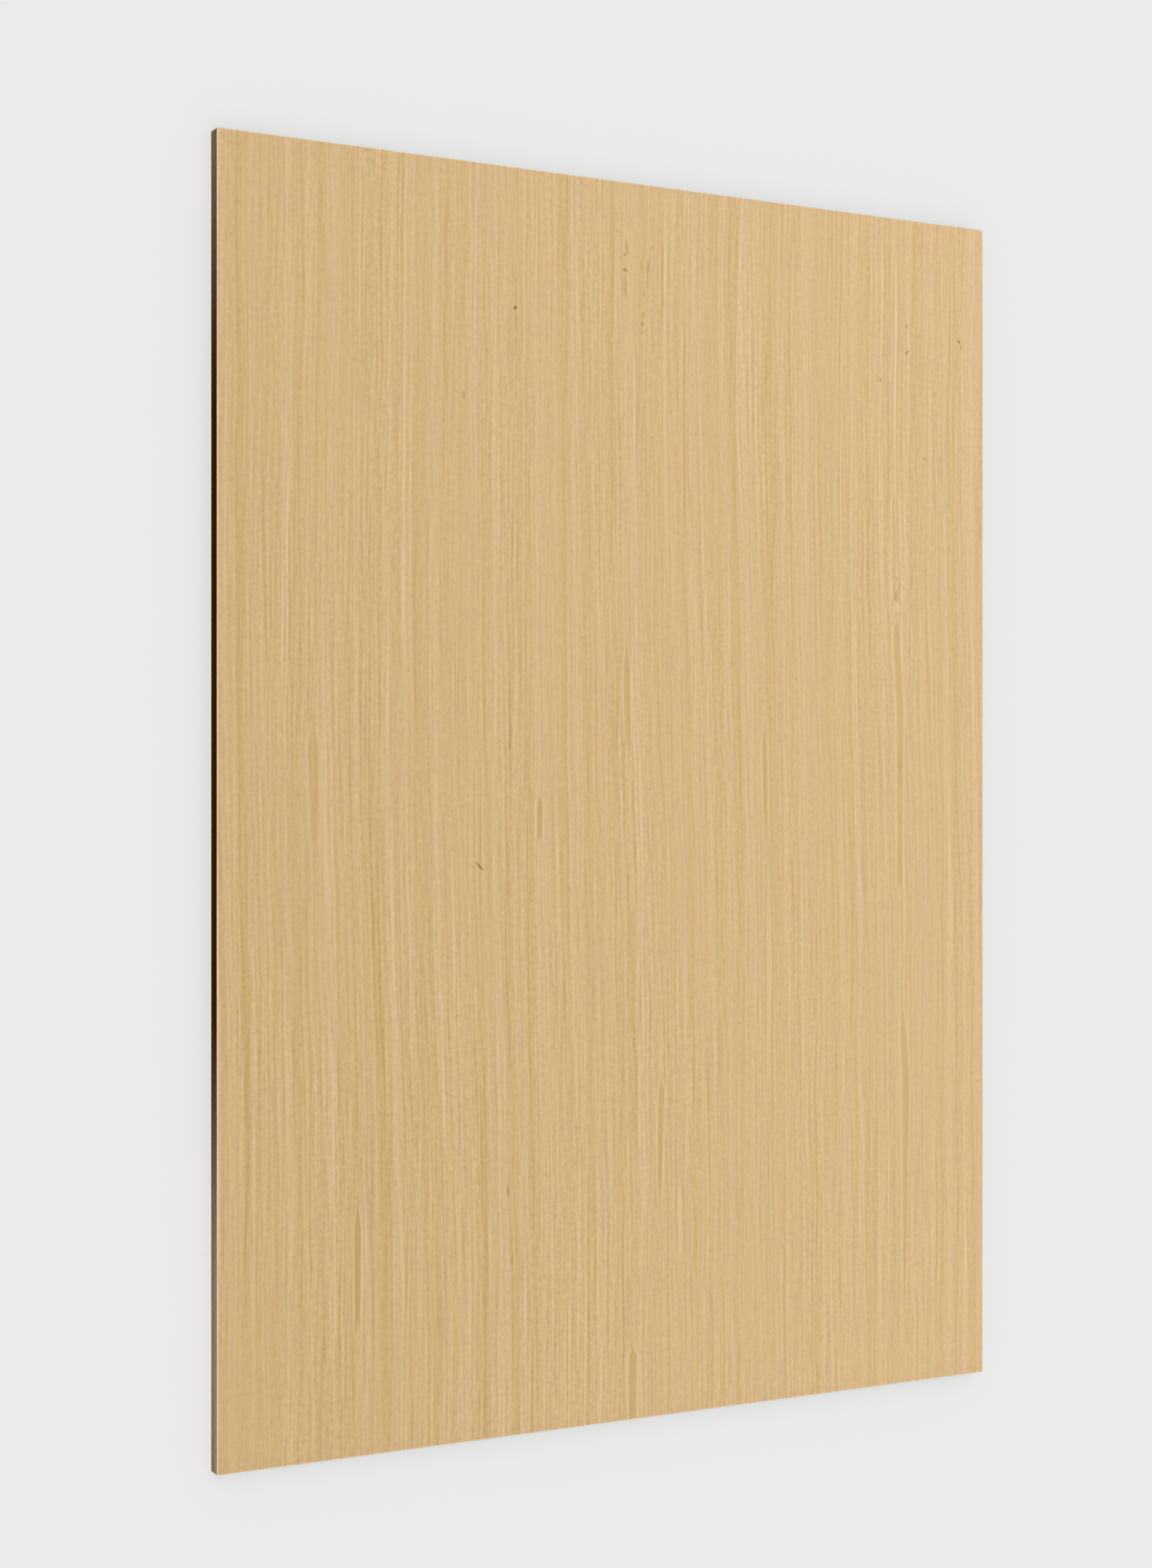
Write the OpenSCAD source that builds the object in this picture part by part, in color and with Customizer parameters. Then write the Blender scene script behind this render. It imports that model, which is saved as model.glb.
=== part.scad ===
// Veneer sheet: one flat piece of quarter-cut oak, lying on its back.
// X runs across the grain, Y along it, and Z up out of the face.
// The origin is the middle of the back.

/* [Sheet] */
// Length of the sheet, along the grain
sheet_length = 297; // [150:1:600]
// Width of the sheet, across the grain
sheet_width = 210; // [100:1:420]
// Thickness of the sheet, from back to face
sheet_thickness = 4; // [1:0.1:10]

/* [Edges] */
// Width and height that the sanded arrises take off round the face and the back
arris_cut = 0.2; // [0.1:0.05:1]
// How far the four corners are sanded back, looking down on the face
corner_cut = 0.3; // [0.1:0.05:5]

/* [Hidden] */

OAK = [0.835, 0.710, 0.529];

// The arrises always leave a flat band in the middle of the edge
largest_arris_share = 0.4;
arris = min(arris_cut, largest_arris_share * sheet_thickness);

// A rectangle centred on the origin, with a cut taken off each corner
module sanded_rectangle(across, up, cut) {
    x = across / 2;
    y = up / 2;
    polygon([
        [x, y - cut], [x - cut, y],
        [cut - x, y], [-x, y - cut],
        [-x, cut - y], [cut - x, -y],
        [x - cut, -y], [x, cut - y]
    ]);
}

// The plan outline, as thick as the sheet
module outline_block() {
    linear_extrude(height = sheet_thickness, center = true)
        sanded_rectangle(sheet_width, sheet_length, corner_cut);
}

// The section across the grain, run along the sheet's length
module cross_section_bar() {
    rotate([90, 0, 0])
        linear_extrude(height = sheet_length, center = true)
            sanded_rectangle(sheet_width, sheet_thickness, arris);
}

// The section along the grain, run across the sheet's width
module long_section_bar() {
    rotate([90, 0, 90])
        linear_extrude(height = sheet_width, center = true)
            sanded_rectangle(sheet_length, sheet_thickness, arris);
}

// The sheet is what the outline and the two sections have in common
module veneer_sheet() {
    color(OAK)
        translate([0, 0, sheet_thickness / 2])
            intersection() {
                outline_block();
                cross_section_bar();
                long_section_bar();
            }
}

veneer_sheet();
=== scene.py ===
import math

import bmesh
import bpy
from mathutils import Matrix, Vector
from mathutils.kdtree import KDTree


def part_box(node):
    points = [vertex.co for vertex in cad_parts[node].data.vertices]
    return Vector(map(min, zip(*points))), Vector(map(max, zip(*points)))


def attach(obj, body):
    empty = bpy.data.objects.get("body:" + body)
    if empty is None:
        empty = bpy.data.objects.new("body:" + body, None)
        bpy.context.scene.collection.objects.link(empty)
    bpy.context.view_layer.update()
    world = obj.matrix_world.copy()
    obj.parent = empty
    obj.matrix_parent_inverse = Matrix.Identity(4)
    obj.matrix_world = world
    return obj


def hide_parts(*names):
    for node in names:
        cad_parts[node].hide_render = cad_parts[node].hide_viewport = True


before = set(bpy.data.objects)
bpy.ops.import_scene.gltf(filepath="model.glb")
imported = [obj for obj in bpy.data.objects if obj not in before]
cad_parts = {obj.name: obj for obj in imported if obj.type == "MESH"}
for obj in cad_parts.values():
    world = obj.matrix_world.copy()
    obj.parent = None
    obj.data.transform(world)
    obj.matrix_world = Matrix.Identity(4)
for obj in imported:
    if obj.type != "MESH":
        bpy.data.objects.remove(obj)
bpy.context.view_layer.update()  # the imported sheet, in metres, lying on its back

sheetNode = "veneer_sheet"
millimetre = 0.001
sheetLow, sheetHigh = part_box(sheetNode)
sheetSize = sheetHigh - sheetLow
sheetMiddle = (sheetLow + sheetHigh) / 2
print("frame loaded, sheet", [round(side / millimetre, 2) for side in sheetSize], "mm")


# Helpers for node trees. The same ones build the materials and the geometry nodes.

def addNode(tree, kind, **settings):
    made = tree.nodes.new(kind)
    for name, value in settings.items():
        setattr(made, name, value)
    return made


def feed(tree, socket, value):
    if isinstance(value, bpy.types.NodeSocket):
        tree.links.new(value, socket)
    else:
        socket.default_value = value


def maths(tree, operation, *values):
    made = addNode(tree, "ShaderNodeMath", operation=operation)
    for socket, value in zip(made.inputs, values):
        feed(tree, socket, value)
    return made.outputs[0]


def vectorMaths(tree, operation, *values):
    made = addNode(tree, "ShaderNodeVectorMath", operation=operation)
    for socket, value in zip(made.inputs, values):
        feed(tree, socket, value)
    return made.outputs["Value" if operation in ("LENGTH", "DOT_PRODUCT") else "Vector"]


def joinVector(tree, *values):
    made = addNode(tree, "ShaderNodeCombineXYZ")
    for socket, value in zip(made.inputs, values):
        feed(tree, socket, value)
    return made.outputs[0]


def splitVector(tree, vector):
    parts = addNode(tree, "ShaderNodeSeparateXYZ")
    feed(tree, parts.inputs[0], vector)
    return tuple(parts.outputs)


def fade(tree, value, start, end, low=0.0, high=1.0):
    # goes smoothly from low at start to high at end; smoothstep needs no clamp to stay between them
    made = addNode(tree, "ShaderNodeMapRange", interpolation_type="SMOOTHSTEP", clamp=False)
    for name, source in (("Value", value), ("From Min", start), ("From Max", end),
                         ("To Min", low), ("To Max", high)):
        feed(tree, made.inputs[name], source)
    return made.outputs[0]


def newGroup(name, kind, takes, gives):
    # an empty node group with its named sockets, and the nodes that hold them
    group = bpy.data.node_groups.new(name, kind)
    for inOut, sockets in (("INPUT", takes), ("OUTPUT", gives)):
        for socketName, socketType in sockets:
            group.interface.new_socket(socketName, in_out=inOut, socket_type="NodeSocket" + socketType)
    return group, addNode(group, "NodeGroupInput").outputs, addNode(group, "NodeGroupOutput").inputs


def useGroup(tree, group, **values):
    # places a group in a tree; a value is named like its socket, without the spaces
    kind = "GeometryNodeGroup" if tree.bl_idname == "GeometryNodeTree" else "ShaderNodeGroup"
    made = addNode(tree, kind, node_tree=group)
    for socket in made.inputs:
        plainName = socket.name.replace(" ", "")
        if plainName in values:
            feed(tree, socket, values[plainName])
    return made.outputs


def linear(red, green, blue):
    # a colour as a screen shows it, 0 to 255, in the units the shaders use
    def channel(level):
        level /= 255
        return level / 12.92 if level <= 0.04045 else ((level + 0.055) / 1.055) ** 2.4
    return (channel(red), channel(green), channel(blue), 1.0)


noiseSpread = 0.13   # the usual reach of Blender's noise to either side of its middle
tiny = 1e-7          # metres, less than any real step


def stretchedNoise(tree, place, across, along, depth, shift=0.0, levels=1.0, beside=0.0):
    # noise about zero, drawn out along the grain; place is a vector of mm across, along and up, and
    # each pattern has a shift of its own, so that no two are alike
    spot = vectorMaths(tree, "MULTIPLY_ADD", place, (1 / across, 1 / along, 1 / depth),
                       (shift + beside / across, shift, shift))
    noise = addNode(tree, "ShaderNodeTexNoise", noise_dimensions="3D")
    feed(tree, noise.inputs["Vector"], spot)
    feed(tree, noise.inputs["Scale"], 1.0)
    feed(tree, noise.inputs["Detail"], 0.0)
    reach = levels / noiseSpread
    return maths(tree, "MULTIPLY_ADD", noise.outputs[0], reach, -reach / 2)


# How the growth rings run through the sheet. Every line of the grain follows them.

rings = {
    "tilt": 0.18,          # how far a ring leans across for each mm of depth
    "slope": 0.005,        # steady drift across the sheet for each mm along it
    "bow": 0.75,           # mm, the long bend that every ring shares
    "bowLength": 360.0,    # mm
    "bowMiddle": 25.0,     # mm below the middle of the sheet
    "wander": 0.35,        # mm, slow differences between one stretch and the next
    "wanderAcross": 60.0,
    "wanderAlong": 130.0,
    "wanderShift": 3.7,
    "ripple": 0.09,        # mm, short waviness
    "rippleAcross": 6.0,
    "rippleAlong": 28.0,
    "rippleShift": 9.1,
    "depth": 60.0,         # mm over which both of them change with depth
}

# places where the rings part round something: mm across, along, half width, half length, mm pushed
partings = (
    (77.6, 53.5, 1.6, 5.0, 0.5),      # the swirl at the head of the long dark streak
    (-31.4, 115.6, 0.7, 1.8, 0.4),    # the pin knot
    (-40.8, -15.0, 0.8, 2.0, 0.3),    # the scar
)


def makeRingPlace():
    # takes mm across, along and up, and gives the ring that a point lies in, as mm across
    group, given, result = newGroup("ringPlace", "GeometryNodeTree",
                                    (("X", "Float"), ("Y", "Float"), ("Z", "Float")),
                                    (("Ring", "Float"),))
    x, y, z = given[0], given[1], given[2]
    place = maths(group, "MULTIPLY_ADD", z, rings["tilt"], x)
    place = maths(group, "MULTIPLY_ADD", y, rings["slope"], place)
    turn = 2 * math.pi / rings["bowLength"]
    phase = maths(group, "MULTIPLY_ADD", y, turn, rings["bowMiddle"] * turn)
    place = maths(group, "MULTIPLY_ADD", maths(group, "SINE", phase), rings["bow"], place)
    spot = joinVector(group, x, y, z)
    for name in ("wander", "ripple"):
        bend = stretchedNoise(group, spot, rings[name + "Across"], rings[name + "Along"],
                              rings["depth"], rings[name + "Shift"], rings[name])
        place = maths(group, "ADD", place, bend)
    for acrossPlace, alongPlace, halfWidth, halfLength, push in partings:
        # lines are pushed outwards, most at the obstacle's own edge
        off = maths(group, "MULTIPLY_ADD", x, 1 / halfWidth, -acrossPlace / halfWidth)
        along = maths(group, "MULTIPLY_ADD", y, 1 / halfLength, -alongPlace / halfLength)
        near = maths(group, "ADD", maths(group, "MULTIPLY", off, off), maths(group, "MULTIPLY", along, along))
        strength = maths(group, "EXPONENT", maths(group, "MULTIPLY", near, -0.5))
        pushed = maths(group, "MULTIPLY", maths(group, "MULTIPLY", off, strength), push)
        place = maths(group, "SUBTRACT", place, pushed)
    feed(group, result[0], place)
    return group


# Broad soft streaks, each along its ring: mm across at its middle, mm along from and to, mm wide,
# levels of tone and levels of straw.
streaks = (
    (-87.5, -149, 61, 1.6, -8, 1.6),
    (-72.4, -149, -30, 1.6, -8, 1.5),
    (-65.0, -149, 8, 3.8, -7, 1.6),
    (-39.2, -149, -58, 2.4, -7, 1.2),
    (-33.4, -108, -86, 1.0, -7, 0.7),
    (0.4, -88, -18, 1.7, -9, 0.8),
    (47.4, -80, -52, 2.0, -5, 0.4),
    (-43.7, 119, 140, 1.0, -7, 1.4),
    (81.0, -149, -60, 1.6, -7, 1.0),
    (-79.2, -60, 44, 1.4, 8, -1.2),
    (-77.3, -98, 10, 1.6, 6, -1.0),
    (-74.0, 38, 120, 1.2, 7, -1.2),
    (-63.0, -62, 44, 1.3, 6, -1.5),
    (75.6, 38, 77, 1.5, 7, -2.0),
    (80.2, 32, 82, 2.2, 7, -1.8),
)
streakForm = {
    "solid": 0.5,          # half widths out to which a streak is at its full strength
    "gone": 1.3,           # and where it has ended
    "reach": 12.0,         # mm over which a long streak fades out
    "share": 0.4,          # of a short one's length
    "patchy": 0.45,        # how much a streak's strength varies as it runs
    "patchyAcross": 0.9,   # mm
    "patchyAlong": 26.0,
    "patchyDepth": 8.0,
    "patchyShift": 71.3,
}


def makeStreak():
    # one streak, added to the tone and the straw of those before it
    takes = ("Tone", "Straw", "Off", "Y", "From", "To", "Reach", "Half Width", "Dark", "Yellow")
    group, given, result = newGroup("grainStreak", "GeometryNodeTree",
                                    tuple((name, "Float") for name in takes),
                                    (("Tone", "Float"), ("Straw", "Float")))
    tone, straw, off, y, low, high, reach, halfWidth, dark, yellow = given[:10]
    solid = maths(group, "MULTIPLY", halfWidth, streakForm["solid"])
    gone = maths(group, "MULTIPLY", halfWidth, streakForm["gone"])
    side = fade(group, maths(group, "ABSOLUTE", off), solid, gone, 1.0, 0.0)
    up = fade(group, y, low, maths(group, "ADD", low, reach))
    down = fade(group, y, maths(group, "SUBTRACT", high, reach), high, 1.0, 0.0)
    mask = maths(group, "MULTIPLY", side, maths(group, "MULTIPLY", up, down))
    feed(group, result[0], maths(group, "MULTIPLY_ADD", mask, dark, tone))
    feed(group, result[1], maths(group, "MULTIPLY_ADD", mask, yellow, straw))
    return group


# Narrow crisp flecks on the face. Most run along their ring, a few straight up the sheet: mm across
# where it is widest, mm along at its pointed head and at its tail, mm wide at its widest and at its
# tail, mm from the point to the widest place, how far the head leans to the left in mm, levels of
# tone and of straw.
flecks = (
    ("straight", 78.62, 46.5, -23.2, 1.8, 1.5, 3.2, 1.05, -22, 4.0),
    ("straight", 77.05, 80.0, 57.5, 1.8, 1.8, 5.0, 0.0, -14, 3.0),
    ("ring", 76.7, 103.0, 74.0, 1.4, 1.2, 12.0, 0.0, -10, 2.0),
    ("ring", 0.3, -130.5, -158.0, 1.9, 1.4, 3.0, 0.0, -25, 3.8),
    ("ring", -71.4, -90.0, -122.0, 1.3, 1.1, 7.0, 0.0, -28, 1.0),
    ("ring", -82.2, 20.0, -13.0, 2.4, 1.8, 9.0, 0.0, -14, 3.5),
    ("ring", -32.7, 21.5, 10.5, 1.0, 0.8, 5.0, 0.0, -23, 1.2),
    ("ring", -24.95, 1.5, -10.0, 1.3, 1.1, 2.2, 0.0, -31, 3.0),
    ("ring", -1.4, 40.0, 10.0, 1.5, 1.3, 9.0, 0.0, -24, 2.0),
    ("straight", 7.8, -64.0, -97.0, 1.4, 1.0, 8.0, -0.5, -27, 2.0),
    ("ring", 43.1, 156.0, 129.0, 1.2, 1.0, 6.0, 0.0, -15, 2.2),
    ("ring", 37.75, 21.0, -11.0, 1.1, 0.9, 8.0, 0.0, -24, 1.8),
    ("ring", 24.8, -51.0, -72.0, 1.4, 1.0, 5.0, 0.0, -12, 1.0),
    ("ring", 80.3, -47.0, -128.0, 1.9, 1.0, 16.0, 0.9, -17, 1.2),
    ("ring", 8.5, 137.0, 112.0, 0.7, 0.6, 5.0, 0.0, -24, 1.0),
    ("ring", 14.7, 120.0, 62.0, 0.7, 0.6, 10.0, 0.0, -26, 2.0),
    ("ring", 9.4, 156.0, 48.0, 1.0, 0.9, 22.0, 0.0, 16, -0.2),
    ("ring", 0.6, 112.0, 84.0, 1.1, 0.9, 8.0, 0.0, 13, 0.4),
    ("ring", 39.1, -9.0, -84.0, 1.3, 1.0, 26.0, 0.0, 17, -0.4),
    ("ring", 13.4, -89.0, -116.0, 1.2, 1.0, 8.0, 0.0, 21, -1.0),
    ("ring", 77.4, 146.0, 62.0, 0.9, 0.8, 20.0, 0.0, 28, -1.0),
)
# how strong a fleck is at each share of its half width; past its edge the wood is paler
fleckProfile = ((0.0, 0.88), (0.6, 0.9), (0.85, 1.0), (1.06, 0.35), (1.2, -0.35), (1.45, -0.75),
                (1.75, -0.75), (2.35, 0.0))
fleckReach = 2.4         # the last share that the profile's ramp covers
fleckPoint = 0.02        # how wide a fleck still is at its pointed head, as a share
leanLength = 27.0        # mm below its head over which a fleck comes to lean


def makeFleck():
    # one fleck, added to the tone and the straw of those before it
    takes = ("Tone", "Straw", "Off", "Y", "Head", "Tail", "Lead", "Lean", "Half Width", "Tail Share",
             "Dark", "Yellow")
    group, given, result = newGroup("grainFleck", "ShaderNodeTree",
                                    tuple((name, "Float") for name in takes),
                                    (("Tone", "Float"), ("Straw", "Float")))
    tone, straw, off, y, head, tail, lead, lean, halfWidth, tailShare, dark, yellow = given[:12]
    widest = maths(group, "SUBTRACT", head, lead)
    wide = maths(group, "MULTIPLY", fade(group, y, head, widest, fleckPoint, 1.0),
                 fade(group, y, tail, widest, tailShare, 1.0))
    wide = maths(group, "MULTIPLY", wide, maths(group, "MULTIPLY", halfWidth, fleckReach))
    leant = fade(group, y, maths(group, "SUBTRACT", head, leanLength), head, 0.0, lean)
    off = maths(group, "ADD", off, leant)
    profile = addNode(group, "ShaderNodeValToRGB")
    stops = profile.color_ramp.elements
    for count, (share, strength) in enumerate(fleckProfile):
        stop = stops[count] if count < 2 else stops.new(share / fleckReach)
        stop.position = share / fleckReach
        stop.color = (1.0, 1.0, 1.0, (strength + 1) / 2)
    feed(group, profile.inputs[0], maths(group, "DIVIDE", maths(group, "ABSOLUTE", off), wide))
    strength = maths(group, "MULTIPLY_ADD", profile.outputs["Alpha"], 2.0, -1.0)
    mask = maths(group, "MULTIPLY", strength, fade(group, y, tail, maths(group, "ADD", tail, lead)))
    feed(group, result[0], maths(group, "MULTIPLY_ADD", mask, dark, tone))
    feed(group, result[1], maths(group, "MULTIPLY_ADD", mask, yellow, straw))
    return group


# The growth lines: mm across, mm along, mm of depth, mm between a line and its paler twin (0 where
# it has none), levels of tone, and how yellow a light line is.
lineLayers = (
    (2.3, 350.0, 8.0, 3.0, 4.2, -0.23),
    (0.85, 300.0, 8.0, 1.3, 2.3, -0.06),
    (0.56, 48.0, 5.0, 0.65, 3.7, 0.06),
    (0.50, 18.0, 4.0, 0.55, 3.7, 0.05),
    (0.75, 6.5, 3.0, 0.9, 2.0, 0.0),
    (0.55, 0.8, 2.0, 0.0, 2.7, 0.0),
    (1.2, 1.2, 2.0, 0.0, 1.9, 0.0),
)
lineShift = 5.3          # between the patterns of one layer and the next
twinShare = 0.71         # of its levels that each twin has, so that the two vary like one line


def growthLine(tree, place, count):
    # one of the layers above, in levels of tone
    across, along, depth, apart, levels, yellow = lineLayers[count]
    shift = lineShift * (count + 1)
    if not apart:
        return stretchedNoise(tree, place, across, along, depth, shift, levels)
    twins = [stretchedNoise(tree, place, across, along, depth, shift, levels * twinShare, beside)
             for beside in (0.0, apart)]
    return maths(tree, "SUBTRACT", *twins)


veins = {
    "across": 1.9,      # mm between one thin dark vein and the next, or less
    "along": 95.0,
    "depth": 6.0,
    "shift": 41.7,
    "thin": 0.05,       # how far from its middle the noise still counts as vein
    "levels": 10.0,
    "paleAt": 0.15,     # where the noise has the pale line that runs beside the vein
    "paleLevels": 6.0,
    "patchAcross": 5.0,   # mm, where there are veins and where none
    "patchAlong": 60.0,
    "patchDepth": 20.0,
    "patchShift": 23.9,
    "patch": (-0.10, 0.20),   # of its noise, where the veins begin and where they are full
}
patches = {
    "across": 12.0,     # mm, where the lines stand out more and where less
    "along": 80.0,
    "depth": 20.0,
    "shift": 33.1,
    "share": 0.15,
}
pores = {
    "across": 1.0,      # mm between one pore and the next
    "along": 4.3,
    "size": 0.16,       # of that distance, to the pore's edge
    "core": 0.4,        # of that size, where the pore is at its deepest
    "share": 0.10,      # of the places that have a pore
    "levels": 17.0,
    "depth": 0.03,      # mm
    "roughness": 0.2,   # how much rougher a pore is
}
fibres = {
    "across": 0.30,     # mm
    "along": 9.0,
    "height": 0.0025,   # mm
    "shift": 11.3,
}
hues = (
    # mm across, mm along, levels, for straw and for rose
    ("straw", 3.2, 26.0, 0.55),
    ("straw", 1.3, 1.3, 1.10),
    ("rose", 3.0, 16.0, 0.60),
    ("rose", 1.5, 1.5, 0.66),
)
hueNoise = {
    "depth": 4.0,       # mm
    "shift": 60.1,
    "step": 3.3,        # between the patterns of one hue and the next
}
# what one level of each does to red, green and blue, as a share of the colour
tints = {
    "tone": (0.0057, 0.0065, 0.0104),
    "straw": (0.0052, 0.0050, -0.0125),
    "rose": (0.0069, -0.0090, 0.0007),
}
darkest = 0.08           # of the colour, the least that a mark leaves


def makeFeel():
    # the pores and the fibres, as a mask and as a height; place is a vector of mm, as above
    group, given, result = newGroup("oakFeel", "ShaderNodeTree", (("Place", "Vector"),),
                                    (("Pore", "Float"), ("Height", "Float")))
    place = given[0]
    cells = addNode(group, "ShaderNodeTexVoronoi", voronoi_dimensions="2D", feature="F1")
    feed(group, cells.inputs["Scale"], 1.0)
    feed(group, cells.inputs["Vector"], vectorMaths(
        group, "MULTIPLY", place, (1 / pores["across"], 1 / pores["along"], 0.0)))
    pore = fade(group, cells.outputs["Distance"], pores["size"] * pores["core"], pores["size"], 1.0, 0.0)
    chosen = splitVector(group, cells.outputs["Color"])[0]
    pore = maths(group, "MULTIPLY", pore, fade(group, chosen, 1 - pores["share"], 1.0))
    feed(group, result["Pore"], pore)
    fibre = stretchedNoise(group, place, fibres["across"], fibres["along"], fibres["across"],
                           fibres["shift"], fibres["height"] * millimetre)
    feed(group, result["Height"], maths(group, "MULTIPLY_ADD", pore, -pores["depth"] * millimetre, fibre))
    return group


def makeQuarterOak():
    # the wood itself: its colour and tone from the ring, the place along it and the height
    group, given, result = newGroup(
        "quarterOak", "ShaderNodeTree",
        (("Place", "Vector"), ("Pore", "Float"), ("Extra Tone", "Float"), ("Extra Straw", "Float"),
         ("Extra Rose", "Float"), ("Contrast", "Float"), ("Middle", "Color")),
        (("Color", "Color"), ("Tone", "Float")))
    place = given["Place"]
    tone, straw, rose = 0.0, given["Extra Straw"], given["Extra Rose"]
    for count, layer in enumerate(lineLayers):
        line = growthLine(group, place, count)
        tone = maths(group, "ADD", tone, line)
        if layer[-1]:
            straw = maths(group, "MULTIPLY_ADD", line, layer[-1], straw)
    vein = stretchedNoise(group, place, veins["across"], veins["along"], veins["depth"],
                          veins["shift"], noiseSpread)
    fromPale = maths(group, "ABSOLUTE", maths(group, "SUBTRACT", vein, veins["paleAt"]))
    pale = fade(group, fromPale, 0.0, veins["thin"], veins["paleLevels"], 0.0)
    vein = fade(group, maths(group, "ABSOLUTE", vein), 0.0, veins["thin"], -veins["levels"], 0.0)
    patch = stretchedNoise(group, place, veins["patchAcross"], veins["patchAlong"], veins["patchDepth"],
                           veins["patchShift"], noiseSpread)
    tone = maths(group, "MULTIPLY_ADD", maths(group, "ADD", vein, pale),
                 fade(group, patch, *veins["patch"]), tone)
    strength = stretchedNoise(group, place, patches["across"], patches["along"], patches["depth"],
                              patches["shift"], patches["share"])
    strength = maths(group, "MULTIPLY_ADD", strength, given["Contrast"], given["Contrast"])
    tone = maths(group, "MULTIPLY", tone, strength)
    tone = maths(group, "MULTIPLY_ADD", given["Pore"], -pores["levels"], tone)
    tone = maths(group, "ADD", tone, given["Extra Tone"])
    for count, (name, across, along, levels) in enumerate(hues):
        hue = stretchedNoise(group, place, across, along, hueNoise["depth"],
                             hueNoise["shift"] + hueNoise["step"] * count, levels)
        if name == "straw":
            straw = maths(group, "ADD", straw, hue)
        else:
            rose = maths(group, "ADD", rose, hue)
    share = (1.0, 1.0, 1.0)
    for name, level in (("tone", tone), ("straw", straw), ("rose", rose)):
        share = vectorMaths(group, "MULTIPLY_ADD", joinVector(group, level, level, level), tints[name], share)
    share = vectorMaths(group, "MAXIMUM", share, (darkest,) * 3)
    feed(group, result["Color"], vectorMaths(group, "MULTIPLY", given["Middle"], share))
    feed(group, result["Tone"], tone)
    return group


# The sheet's mesh: a block with sanded corners and arrises, cut into a fine grid.

sheetShape = {
    "arris": 0.20 * millimetre,
    "corner": 0.30 * millimetre,
    "segments": 2,
    "columns": 560,
    "rows": 70,
    "relief": 0.022,        # mm, how deep the softest lines are worn
    "wearOfTone": 1 / 40,   # what one level of a streak's tone counts for in that
    "wearOfLine": 1 / 16,   # and one level of a growth line's
    "wornLayers": 2,        # how many of the layers of lines count, from the first
    "wearReach": 0.5,       # how far below zero the count is where the wear is full, and above it where none
    "surface": 0.001,       # mm within which a point counts as on the face or the back
    "smoothAngle": 35.0,    # degrees
}
finishes = ("face", "back", "arris", "longEdge", "endGrain")
# how far a face's normal leans, as the part of it along one direction
leaning = {
    "flat": 0.99,         # up or down, past which a face lies flat
    "slanted": 0.01,      # up or down, past which it isn't upright
    "sideways": 0.8,      # across, past which an upright one is on a long edge
}

# Where each side lies on the map that its finish is baked to: which way it runs to the right and up
# the map, and between which heights.
bakeMap = {
    "face": ((1, 0, 0), (0, 1, 0), 0.003, 0.583),
    "back": ((-1, 0, 0), (0, 1, 0), 0.590, 0.910),
    "left": ((0, -1, 0), (0, 0, 1), 0.917, 0.934),
    "right": ((0, 1, 0), (0, 0, 1), 0.939, 0.956),
    "near": ((1, 0, 0), (0, 0, 1), 0.961, 0.978),
    "far": ((-1, 0, 0), (0, 0, 1), 0.983, 0.998),
}
mapWidth = 0.996


def sideOf(face):
    # the arrises go with the face and the back, and the rounded corners with the edges
    normal = face.normal
    if abs(normal.z) > leaning["slanted"]:
        return "face" if normal.z > 0 else "back"
    if abs(normal.x) > leaning["sideways"]:
        return "left" if normal.x < 0 else "right"
    return "near" if normal.y < 0 else "far"


def finishOf(face):
    side = sideOf(face)
    if side in ("face", "back"):
        return side if abs(face.normal.z) > leaning["flat"] else "arris"
    return "longEdge" if side in ("left", "right") else "endGrain"


def layOut(bm):
    layer = bm.loops.layers.uv.new("OFBake")
    for face in bm.faces:
        right, up, low, high = bakeMap[sideOf(face)]
        for loop in face.loops:
            place = loop.vert.co - sheetMiddle
            share = Vector([step / side for step, side in zip(place, sheetSize)])
            loop[layer].uv = (0.5 + mapWidth * share.dot(right),
                              (low + high) / 2 + (high - low) * share.dot(up))


def cutAcross(bm, axis, low, high, count):
    # cuts the mesh into count slices along an axis; only what lies beyond the last cut is cut again
    rest = bm.faces[:] + bm.edges[:] + bm.verts[:]
    direction = Vector([1.0 if place == axis else 0.0 for place in range(3)])
    for step in range(1, count):
        at = low + (high - low) * step / count
        done = bmesh.ops.bisect_plane(bm, geom=rest, dist=tiny, plane_co=direction * at, plane_no=direction)
        faces = [item for item in done["geom"] if isinstance(item, bmesh.types.BMFace)
                 and item.calc_center_median()[axis] > at]
        edges = dict.fromkeys(edge for face in faces for edge in face.edges)
        verts = dict.fromkeys(vert for face in faces for vert in face.verts)
        rest = faces + list(edges) + list(verts)


# Bevels and cuts leave the faces in no fixed order. These weights for across, along and up sort them,
# so that the mesh is the same on every run.
faceOrder = Vector((1, 10, 100))


def rise(edge):
    return abs(edge.verts[0].co.z - edge.verts[1].co.z)


def roundOff(bm, edges, offset):
    bmesh.ops.bevel(bm, geom=edges, offset=offset, offset_type="OFFSET", segments=sheetShape["segments"],
                    profile=0.5, affect="EDGES", material=-1)


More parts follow.
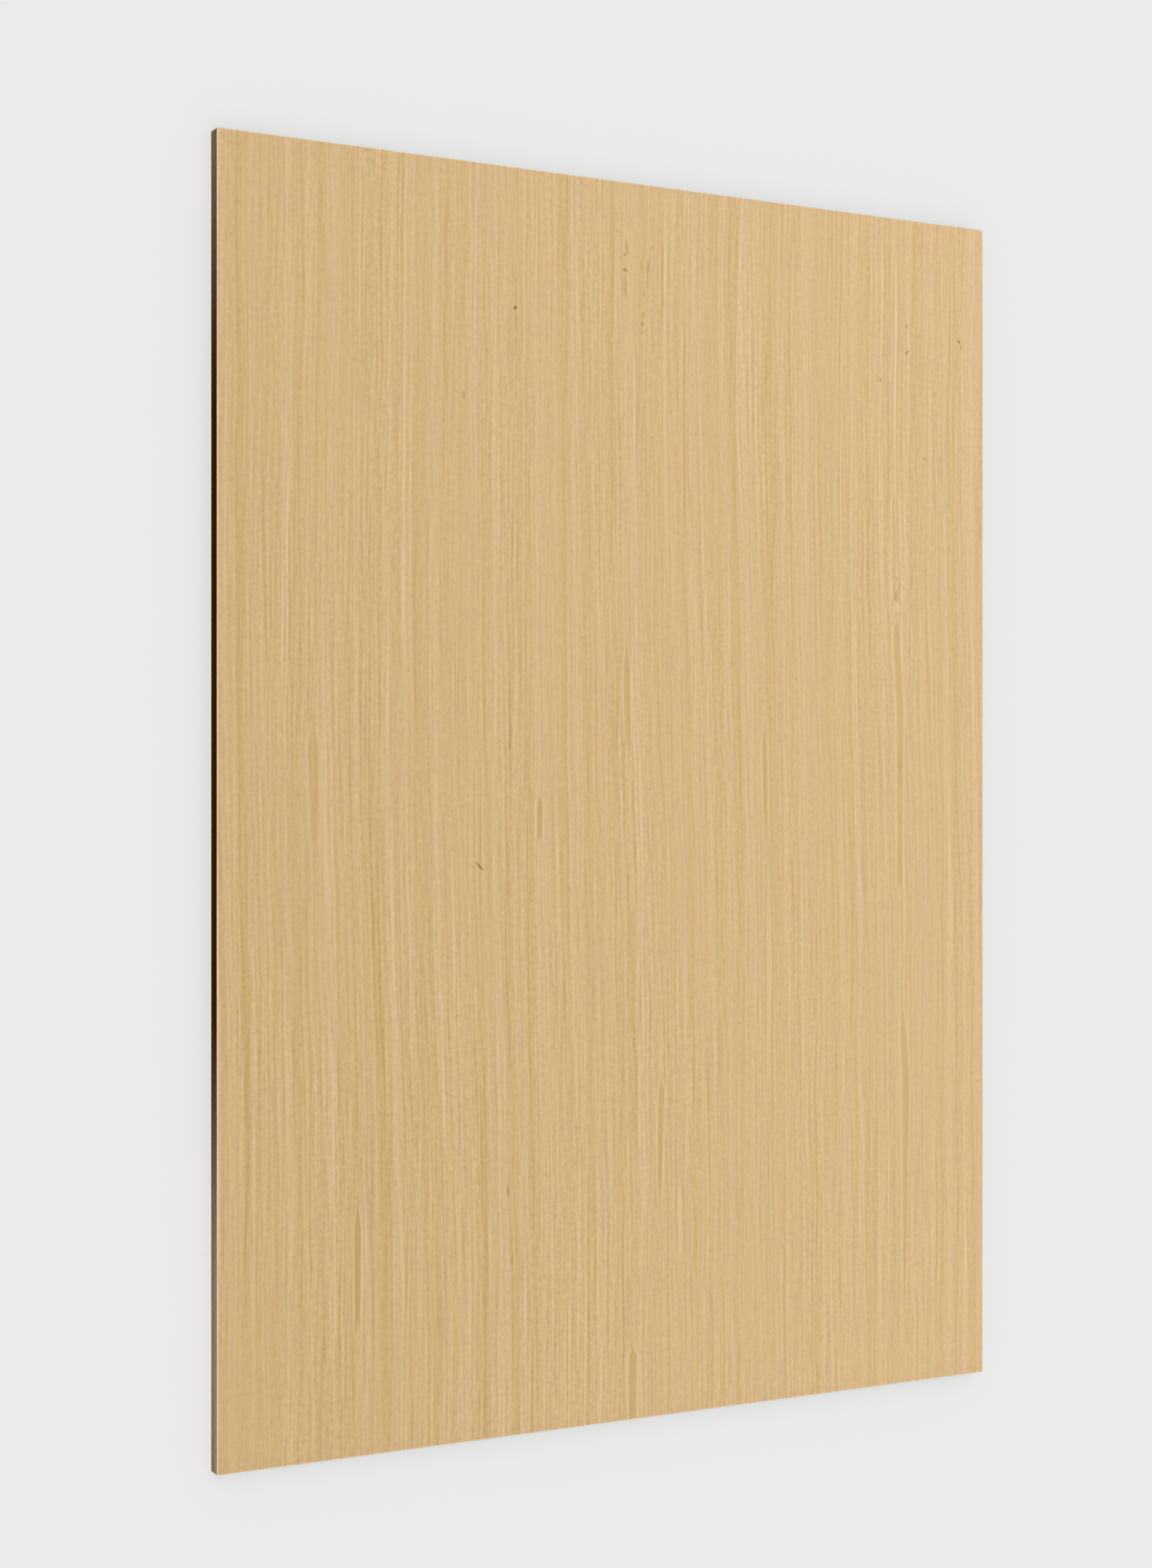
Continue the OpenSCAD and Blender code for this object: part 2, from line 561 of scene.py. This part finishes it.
def buildSheet():
    bm = bmesh.new()
    spread = Matrix.Diagonal((*sheetSize, 1))
    bmesh.ops.create_cube(bm, size=1, matrix=Matrix.Translation(sheetMiddle) @ spread)
    roundOff(bm, [edge for edge in bm.edges if rise(edge) > millimetre], sheetShape["corner"])
    roundOff(bm, [edge for edge in bm.edges if rise(edge) < tiny], sheetShape["arris"])
    bm.normal_update()
    for face in bm.faces:
        face.material_index = finishes.index(finishOf(face))
    layOut(bm)
    cutAcross(bm, 0, sheetLow.x, sheetHigh.x, sheetShape["columns"])
    cutAcross(bm, 1, sheetLow.y, sheetHigh.y, sheetShape["rows"])
    bm.faces.sort(key=lambda face: face.calc_center_median().dot(faceOrder))
    mesh = bpy.data.meshes.new("oakSheet")
    bm.to_mesh(mesh)
    bm.free()
    sheet = bpy.data.objects.new("oakSheet", mesh)
    bpy.context.scene.collection.objects.link(sheet)
    return sheet


def addFigure(sheet):
    # stores the ring and the streaks at every vertex, and wears the soft lines down a little
    tree, given, result = newGroup("sheetFigure", "GeometryNodeTree",
                                   (("Geometry", "Geometry"),), (("Geometry", "Geometry"),))
    ringPlace = makeRingPlace()
    grainStreak = makeStreak()
    position = addNode(tree, "GeometryNodeInputPosition").outputs[0]
    inMillimetres = vectorMaths(tree, "MULTIPLY", position, (1 / millimetre,) * 3)
    x, y, z = splitVector(tree, inMillimetres)
    ring = useGroup(tree, ringPlace, X=x, Y=y, Z=z)[0]
    faceHeight = sheetHigh.z / millimetre
    tone, straw = 0.0, 0.0
    for across, low, high, wide, dark, yellow in streaks:
        own = useGroup(tree, ringPlace, X=across, Y=(low + high) / 2, Z=faceHeight)[0]
        off = maths(tree, "SUBTRACT", ring, own)
        reach = min(streakForm["reach"], streakForm["share"] * (high - low))
        tone, straw = useGroup(tree, grainStreak, Tone=tone, Straw=straw, Off=off, Y=y, From=low, To=high,
                               Reach=reach, HalfWidth=wide / 2, Dark=dark, Yellow=yellow)[:]
    place = joinVector(tree, ring, y, z)
    patchy = stretchedNoise(tree, place, streakForm["patchyAcross"], streakForm["patchyAlong"],
                            streakForm["patchyDepth"], streakForm["patchyShift"], streakForm["patchy"])
    tone = maths(tree, "MULTIPLY", tone, maths(tree, "ADD", 1.0, patchy))
    store = addNode(tree, "GeometryNodeStoreNamedAttribute", data_type="FLOAT_VECTOR", domain="POINT")
    feed(tree, store.inputs["Geometry"], given[0])
    feed(tree, store.inputs["Name"], "figure")
    feed(tree, store.inputs["Value"], joinVector(tree, ring, tone, straw))
    wear = maths(tree, "MULTIPLY", tone, sheetShape["wearOfTone"])
    for count in range(sheetShape["wornLayers"]):
        wear = maths(tree, "MULTIPLY_ADD", growthLine(tree, place, count), sheetShape["wearOfLine"], wear)
    reach = sheetShape["wearReach"]
    wear = fade(tree, wear, -reach, reach, sheetShape["relief"] * millimetre, 0.0)
    onTop = maths(tree, "GREATER_THAN", z, faceHeight - sheetShape["surface"])
    below = maths(tree, "LESS_THAN", z, sheetLow.z / millimetre + sheetShape["surface"])
    sink = maths(tree, "MULTIPLY", wear, maths(tree, "SUBTRACT", below, onTop))
    move = addNode(tree, "GeometryNodeSetPosition")
    feed(tree, move.inputs["Geometry"], store.outputs[0])
    feed(tree, move.inputs["Offset"], joinVector(tree, 0.0, 0.0, sink))
    feed(tree, result[0], move.outputs[0])
    figure = sheet.modifiers.new("figure", "NODES")
    figure.node_group = tree
    with bpy.context.temp_override(object=sheet, active_object=sheet):
        bpy.ops.object.modifier_apply(modifier=figure.name)
    sheet.data.shade_smooth()
    sheet.data.set_sharp_from_angle(angle=math.radians(sheetShape["smoothAngle"]))


# Materials. Each reads the figure that the mesh carries and its own place in the sheet.

def readSheet(tree):
    # gives the ring, the streaks' tone and straw, and the place across, along and up in mm
    carried = addNode(tree, "ShaderNodeAttribute", attribute_type="GEOMETRY", attribute_name="figure")
    ring, tone, straw = splitVector(tree, carried.outputs["Vector"])
    place = addNode(tree, "ShaderNodeTexCoord").outputs["Object"]
    x, y, z = splitVector(tree, vectorMaths(tree, "MULTIPLY", place, (1 / millimetre,) * 3))
    return ring, tone, straw, x, y, z


oakFinish = {
    "face": (213.3, 180.4, 131.7),
    "back": (205, 171, 120),
    # painted highlight: the arrises are paler than the face
    "arris": (230, 203, 156),
    "roughness": 0.50,
    "backRoughness": 0.62,
    "backContrast": 0.9,
    "arrisContrast": 0.8,
    "glossOfTone": -0.002,     # what a level of tone adds to the roughness, so light lines are smoother
    "specular": 0.30,
    "tone": (0.104, 0.0225),   # painted light: levels of tone for each mm to the right, and for each mm up, so the face is lighter towards the upper right
    "toneBend": 0.00011,       # and for each square mm away from the middle, up or down
    "straw": (0.004, 0.003),   # levels of straw for each mm to the right, and for each mm up
    "contrast": 1.07,          # how much the lines stand out at the middle
    "calmer": -0.0004,         # what each mm to the right adds to that
    "calmFleck": (3.0, 16.0, 1.0, 0.45),   # a fleck's tone from and to, and the lines' share there
}

# Small marks on the face: mm across, along, half width, half length, degrees turned, levels of
# tone, and levels of the pale ring round the mark
marks = (
    (-31.4, 115.6, 0.42, 0.55, -20, -91, 8),     # pin knot
    (-40.7, -15.1, 0.33, 1.80, 43, -70, 14),     # scar
    (77.6, 54.4, 0.95, 3.0, 0, -11, 0),          # the swirl's body
    (77.6, 52.0, 1.05, 1.25, 0, -30, 6),         # its dark foot, and the foot's two corners
    (76.9, 51.2, 0.34, 0.38, 0, -14, 0),
    (78.5, 51.2, 0.36, 0.38, 0, -18, 0),
    (76.9, 54.8, 0.26, 2.2, 0, -11, 0),          # its outlines
    (78.3, 54.8, 0.25, 2.0, 0, -20, 0),
    (76.25, 56.3, 0.40, 0.36, 0, -12, 0),        # the dark spots at its top
    (77.7, 56.85, 0.65, 0.36, -15, -31, 0),
    (76.6, 58.8, 0.28, 2.4, 14, -15, 0),
    (79.1, 53.8, 0.42, 4.6, 0, 20, 0),           # the pale wood round it
    (79.2, 51.2, 0.35, 0.60, 0, 14, 0),
    (75.9, 54.4, 0.45, 2.6, 0, 13, 0),
    (77.7, 49.2, 1.3, 1.4, 0, 9, 0),
    (76.7, 37.5, 0.40, 7.0, 3, 9, 0),            # the pale wood beside the streak's head
    (79.1, 38.5, 0.32, 6.0, 3, 8, 0),
    (78.5, 22.0, 0.80, 8.5, 0, 7, 0),            # the paler and darker stretches of that streak
    (78.6, 9.4, 0.60, 2.4, 0, -9, 0),
    (78.7, 0.2, 0.70, 3.4, 0, 10, 0),
    (78.7, -7.6, 0.70, 2.8, 0, 6, 0),
    (-4.1, 139.8, 0.30, 1.6, 0, -24, 0),         # a puckered patch near the top
    (-3.9, 136.6, 0.42, 0.55, 0, -39, 3),
    (-1.4, 132.8, 0.36, 2.0, 4, -40, 3),
    (-2.1, 131.1, 0.44, 0.52, 0, -47, 4),
    (-2.8, 130.0, 0.28, 0.9, 3, -23, 0),
    (-1.85, 127.4, 0.80, 0.52, 0, -58, 6),
    (-2.1, 123.8, 0.80, 2.4, 0, -18, 0),
    (-1.65, 122.6, 0.30, 0.70, 0, -14, 0),
    (2.7, 128.7, 0.34, 1.9, 2, -30, 2),
    (4.4, 128.5, 0.34, 2.2, -2, -43, 2),
    (4.35, 125.2, 0.30, 1.6, 0, -29, 0),
    (5.6, 133.4, 0.34, 0.60, 0, -29, 0),
    (3.35, 122.1, 0.38, 0.65, 0, -32, 2),
    (3.15, 117.0, 0.34, 1.3, 5, -34, 0),
    (2.85, 114.9, 0.47, 0.62, 0, -49, 6),
    (2.85, 112.9, 0.34, 0.42, 0, -26, 0),
    (8.9, 120.6, 0.34, 1.6, 0, -22, 0),
    (80.85, 121.4, 0.38, 0.90, -35, -42, 5),     # pin marks toward the upper right corner
    (84.3, 118.9, 0.32, 0.55, 40, -27, 2),
    (80.8, 114.6, 0.40, 0.90, -40, -63, 4),
    (97.3, 118.8, 0.48, 0.60, 15, -66, 6),
    (97.75, 117.8, 0.36, 0.90, 12, -40, 0),
    (89.8, 104.6, 0.38, 0.75, -25, -21, 3),
    (93.8, 110.7, 0.32, 0.90, -50, -8, 2),
    (72.6, 106.9, 0.38, 0.60, 0, -60, 0),
    (86.5, 87.9, 0.50, 0.42, 20, -52, 6),
    (54.2, 83.8, 0.34, 0.65, 0, -22, 0),
    (-32.9, 13.0, 0.36, 1.1, 0, -22, 2),         # single marks further left
    (-44.8, 94.1, 0.36, 1.1, 4, -41, 2),
    (-33.4, -91.0, 0.34, 1.6, 6, -47, 2),
    (-32.2, -107.3, 0.34, 1.2, -4, -33, 0),
)
markEdge = (0.5, 1.25)   # how far out a mark starts to fade and where it has ended, in half widths
markRing = 1.45          # how far out the pale ring lies, in half widths
ringReach = 0.5          # and how far it reaches to either side
roseOfMark = -0.035      # levels of rose for each level of tone, so dark marks are redder
strawOfMark = -0.025     # and yellower
roseOfFleck = -0.05


def makeMark():
    # how far a place lies from the middle of a mark, in half widths
    group, given, result = newGroup(
        "markDistance", "ShaderNodeTree",
        (("Place", "Vector"), ("Across", "Vector"), ("Along", "Vector"), ("Middle Across", "Float"),
         ("Middle Along", "Float")),
        (("Out", "Float"),))
    ways = []
    for name in ("Across", "Along"):
        way = vectorMaths(group, "DOT_PRODUCT", given["Place"], given[name])
        ways.append(maths(group, "SUBTRACT", way, given["Middle " + name]))
    across, along = ways
    square = maths(group, "MULTIPLY_ADD", across, across, maths(group, "MULTIPLY", along, along))
    feed(group, result[0], maths(group, "SQRT", square))
    return group


def addMarks(tree, markDistance, x, y):
    # the tone of every mark together
    tone = 0.0
    place = joinVector(tree, x, y, 0.0)
    for across, along, halfWidth, halfLength, turn, dark, pale in marks:
        middle = Vector((across, along, 0.0))
        sine, cosine = math.sin(math.radians(turn)), math.cos(math.radians(turn))
        sideways = Vector((cosine, sine, 0.0)) / halfWidth
        lengthways = Vector((-sine, cosine, 0.0)) / halfLength
        out = useGroup(tree, markDistance, Place=place, Across=sideways, Along=lengthways,
                       MiddleAcross=middle.dot(sideways), MiddleAlong=middle.dot(lengthways))[0]
        tone = maths(tree, "ADD", fade(tree, out, *markEdge, dark, 0.0), tone)
        if pale:
            fromRing = maths(tree, "ABSOLUTE", maths(tree, "SUBTRACT", out, markRing))
            tone = maths(tree, "ADD", fade(tree, fromRing, 0.0, ringReach, pale, 0.0), tone)
    return tone


def newFinish(name, roughness):
    material = bpy.data.materials.new(name)
    material.use_nodes = True
    shader = material.node_tree.nodes["Principled BSDF"]
    shader.inputs["Roughness"].default_value = roughness
    shader.inputs["Specular IOR Level"].default_value = oakFinish["specular"]
    return material, material.node_tree, shader


def wearOak(tree, shader, quarterOak, oakFeel, roughness, **values):
    # colour, gloss and relief of one finish
    feel = useGroup(tree, oakFeel, Place=values["Place"])
    oak = useGroup(tree, quarterOak, Pore=feel["Pore"], **values)
    feed(tree, shader.inputs["Base Color"], oak["Color"])
    gloss = maths(tree, "MULTIPLY_ADD", oak["Tone"], oakFinish["glossOfTone"], roughness)
    gloss = maths(tree, "MULTIPLY_ADD", feel["Pore"], pores["roughness"], gloss)
    feed(tree, shader.inputs["Roughness"], gloss)
    bump = addNode(tree, "ShaderNodeBump")
    feed(tree, bump.inputs["Distance"], 1.0)
    feed(tree, bump.inputs["Height"], feel["Height"])
    feed(tree, shader.inputs["Normal"], bump.outputs[0])


def oakFace(quarterOak, oakFeel, grainFleck, markDistance, ringAt):
    material, tree, shader = newFinish("oakFace", oakFinish["roughness"])
    ring, tone, straw, x, y, z = readSheet(tree)
    # painted light: the tone that rises to the right and upwards stands in for light falling from the upper
    # right
    for count, way in enumerate((x, y)):
        tone = maths(tree, "MULTIPLY_ADD", way, oakFinish["tone"][count], tone)
        straw = maths(tree, "MULTIPLY_ADD", way, oakFinish["straw"][count], straw)
    tone = maths(tree, "MULTIPLY_ADD", maths(tree, "MULTIPLY", y, y), oakFinish["toneBend"], tone)
    ownTone = 0.0
    for way, across, head, tail, wide, tailWide, lead, lean, dark, yellow in flecks:
        if way == "ring":
            off = maths(tree, "SUBTRACT", ring, ringAt(across, head - lead))
        else:
            off = maths(tree, "SUBTRACT", x, across)
        ownTone, straw = useGroup(tree, grainFleck, Tone=ownTone, Straw=straw, Off=off, Y=y, Head=head,
                                  Tail=tail, Lead=lead, Lean=lean, HalfWidth=wide / 2,
                                  TailShare=tailWide / wide, Dark=dark, Yellow=yellow)[:]
    tone = maths(tree, "ADD", tone, ownTone)
    calm = fade(tree, maths(tree, "ABSOLUTE", ownTone), *oakFinish["calmFleck"])
    marked = addMarks(tree, markDistance, x, y)
    wearOak(tree, shader, quarterOak, oakFeel, oakFinish["roughness"], Place=joinVector(tree, ring, y, z),
            ExtraTone=maths(tree, "ADD", tone, marked),
            ExtraStraw=maths(tree, "MULTIPLY_ADD", marked, strawOfMark, straw),
            ExtraRose=maths(tree, "MULTIPLY_ADD", marked, roseOfMark,
                            maths(tree, "MULTIPLY", ownTone, roseOfFleck)),
            Contrast=maths(tree, "MULTIPLY", calm,
                           maths(tree, "MULTIPLY_ADD", x, oakFinish["calmer"], oakFinish["contrast"])),
            Middle=linear(*oakFinish["face"]))
    return material


def oakBack(quarterOak, oakFeel):
    # the back is the same wood, less finely sanded
    material, tree, shader = newFinish("oakBack", oakFinish["backRoughness"])
    ring, tone, straw, x, y, z = readSheet(tree)
    wearOak(tree, shader, quarterOak, oakFeel, oakFinish["backRoughness"],
            Place=joinVector(tree, ring, y, z),
            ExtraTone=tone, ExtraStraw=straw, Contrast=oakFinish["backContrast"],
            Middle=linear(*oakFinish["back"]))
    return material


def arrisHighlight(quarterOak, oakFeel):
    # the arrises are painted paler than the face, a painted highlight along them
    material, tree, shader = newFinish("paintedArrisHighlight", oakFinish["backRoughness"])
    ring, tone, straw, x, y, z = readSheet(tree)
    wearOak(tree, shader, quarterOak, oakFeel, oakFinish["backRoughness"],
            Place=joinVector(tree, ring, y, z),
            ExtraTone=0.0, ExtraStraw=0.0, Contrast=oakFinish["arrisContrast"],
            Middle=linear(*oakFinish["arris"]))
    return material


paintedEdgeShade = {
    # painted shade: the dark brown of every edge stands in for the shade the edges lie in
    "dark": (56, 32, 6),
    # painted light: the long edges are painted paler towards their ends
    "worn": (151, 131, 116),
    "wornAbove": (85.0, 190.0),   # mm along, where the painted light starts and where it is full
    "wornBelow": (-42.0, -122.0),
    "roughness": 0.60,
    "specular": 0.0,
    "contrast": 1.7,
    "endStretch": 5.0,            # how many times shorter the grain is up an end than along the sheet
}


def edgeInPaintedShade(quarterOak, oakFeel, name, endGrain):
    # edges painted dark brown, a painted shade; towards the ends of the long ones they are painted paler, a
    # painted light
    material, tree, shader = newFinish(name, paintedEdgeShade["roughness"])
    shader.inputs["Specular IOR Level"].default_value = paintedEdgeShade["specular"]
    ring, tone, straw, x, y, z = readSheet(tree)
    if endGrain:
        worn = 0.0
        place = joinVector(tree, ring, maths(tree, "MULTIPLY", z, paintedEdgeShade["endStretch"]), y)
    else:
        # painted light, growing towards both ends of the long edges
        worn = maths(tree, "MAXIMUM", fade(tree, y, *paintedEdgeShade["wornAbove"]),
                     fade(tree, y, *paintedEdgeShade["wornBelow"]))
        place = joinVector(tree, z, y, x)
    mix = addNode(tree, "ShaderNodeMix", data_type="RGBA")
    feed(tree, mix.inputs[0], worn)
    feed(tree, mix.inputs[6], linear(*paintedEdgeShade["dark"]))
    feed(tree, mix.inputs[7], linear(*paintedEdgeShade["worn"]))
    wearOak(tree, shader, quarterOak, oakFeel, paintedEdgeShade["roughness"], Place=place,
            ExtraTone=0.0, ExtraStraw=0.0, Contrast=paintedEdgeShade["contrast"], Middle=mix.outputs[2])
    return material


def readRings(sheet):
    # a function that gives the ring at a place on the face, from the mesh's nearest corner
    figure = sheet.data.attributes["figure"].data
    tree = KDTree(len(sheet.data.vertices))
    for vert in sheet.data.vertices:
        tree.insert(vert.co, vert.index)
    tree.balance()

    def ringAt(x, y):
        spot, index, distance = tree.find((x * millimetre, y * millimetre, sheetHigh.z))
        return figure[index].vector[0] + x - spot.x / millimetre
    return ringAt


sheet = buildSheet()
print("sheet cut", len(sheet.data.polygons), "faces")
addFigure(sheet)
print("figure and relief applied")
quarterOak = makeQuarterOak()
oakFeel = makeFeel()
for material in (oakFace(quarterOak, oakFeel, makeFleck(), makeMark(), readRings(sheet)),
                 oakBack(quarterOak, oakFeel), arrisHighlight(quarterOak, oakFeel),
                 edgeInPaintedShade(quarterOak, oakFeel, "longEdge", False),
                 edgeInPaintedShade(quarterOak, oakFeel, "endGrain", True)):
    sheet.data.materials.append(material)
print("materials ready")
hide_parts(sheetNode)
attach(sheet, "root")


# The studio: a pale floor, a soft sun from the left and even light all round.

studio = {
    "lens": 57.23,
    "cameraPlace": (-0.2963, 0.0004, 0.5244),
    "cameraTurn": 28.372,     # degrees off straight down
    "shiftUp": 0.0099,
    "nearest": 0.01,          # metres, the closest thing the camera sees
    "floorSize": 6.0,
    "floor": (235, 235, 235),
    "floorRoughness": 0.9,
    "world": 0.35,
    "sun": 2.132,
    "sunWidth": 30.0,         # degrees
    "sunFrom": (-0.45, 0.15, 1.6),
}


def buildCamera():
    cameraData = bpy.data.cameras.new("camera")
    cameraData.lens = studio["lens"]
    cameraData.shift_y = studio["shiftUp"]
    cameraData.clip_start = studio["nearest"]
    camera = bpy.data.objects.new("camera", cameraData)
    turn = math.radians(studio["cameraTurn"])
    right = Vector((math.cos(turn), 0, math.sin(turn)))
    up = Vector((0, 1, 0))
    rotation = Matrix((right, up, right.cross(up))).transposed().to_4x4()
    camera.matrix_world = Matrix.Translation(studio["cameraPlace"]) @ rotation
    bpy.context.scene.collection.objects.link(camera)
    bpy.context.scene.camera = camera


def buildFloor():
    bm = bmesh.new()
    bmesh.ops.create_grid(bm, x_segments=1, y_segments=1, size=studio["floorSize"] / 2)
    floorMesh = bpy.data.meshes.new("floor")
    bm.to_mesh(floorMesh)
    bm.free()
    floor = bpy.data.objects.new("floor", floorMesh)
    bpy.context.scene.collection.objects.link(floor)
    paint = bpy.data.materials.new("paleFloor")
    paint.use_nodes = True
    shader = paint.node_tree.nodes["Principled BSDF"]
    shader.inputs["Base Color"].default_value = linear(*studio["floor"])
    shader.inputs["Roughness"].default_value = studio["floorRoughness"]
    shader.inputs["Specular IOR Level"].default_value = 0.0
    floorMesh.materials.append(paint)


def buildLight():
    world = bpy.data.worlds.new("studio")
    bpy.context.scene.world = world
    world.use_nodes = True
    tree = world.node_tree
    background = tree.nodes["Background"]
    background.inputs["Color"].default_value = (1, 1, 1, 1)
    background.inputs["Strength"].default_value = studio["world"]
    backdrop = addNode(tree, "ShaderNodeBackground")
    backdrop.inputs["Color"].default_value = linear(*studio["floor"])
    seen = addNode(tree, "ShaderNodeLightPath")
    mix = addNode(tree, "ShaderNodeMixShader")
    feed(tree, mix.inputs[0], seen.outputs["Is Camera Ray"])
    feed(tree, mix.inputs[1], background.outputs[0])
    feed(tree, mix.inputs[2], backdrop.outputs[0])
    feed(tree, tree.nodes["World Output"].inputs["Surface"], mix.outputs[0])

    sunData = bpy.data.lights.new("softSun", "SUN")
    sunData.energy = studio["sun"]
    sunData.angle = math.radians(studio["sunWidth"])
    sun = bpy.data.objects.new("softSun", sunData)
    sun.matrix_world = Vector(studio["sunFrom"]).to_track_quat("Z", "Y").to_matrix().to_4x4()
    bpy.context.scene.collection.objects.link(sun)


buildCamera()
buildFloor()
buildLight()
bpy.context.scene.view_settings.view_transform = "Standard"
print("studio ready")
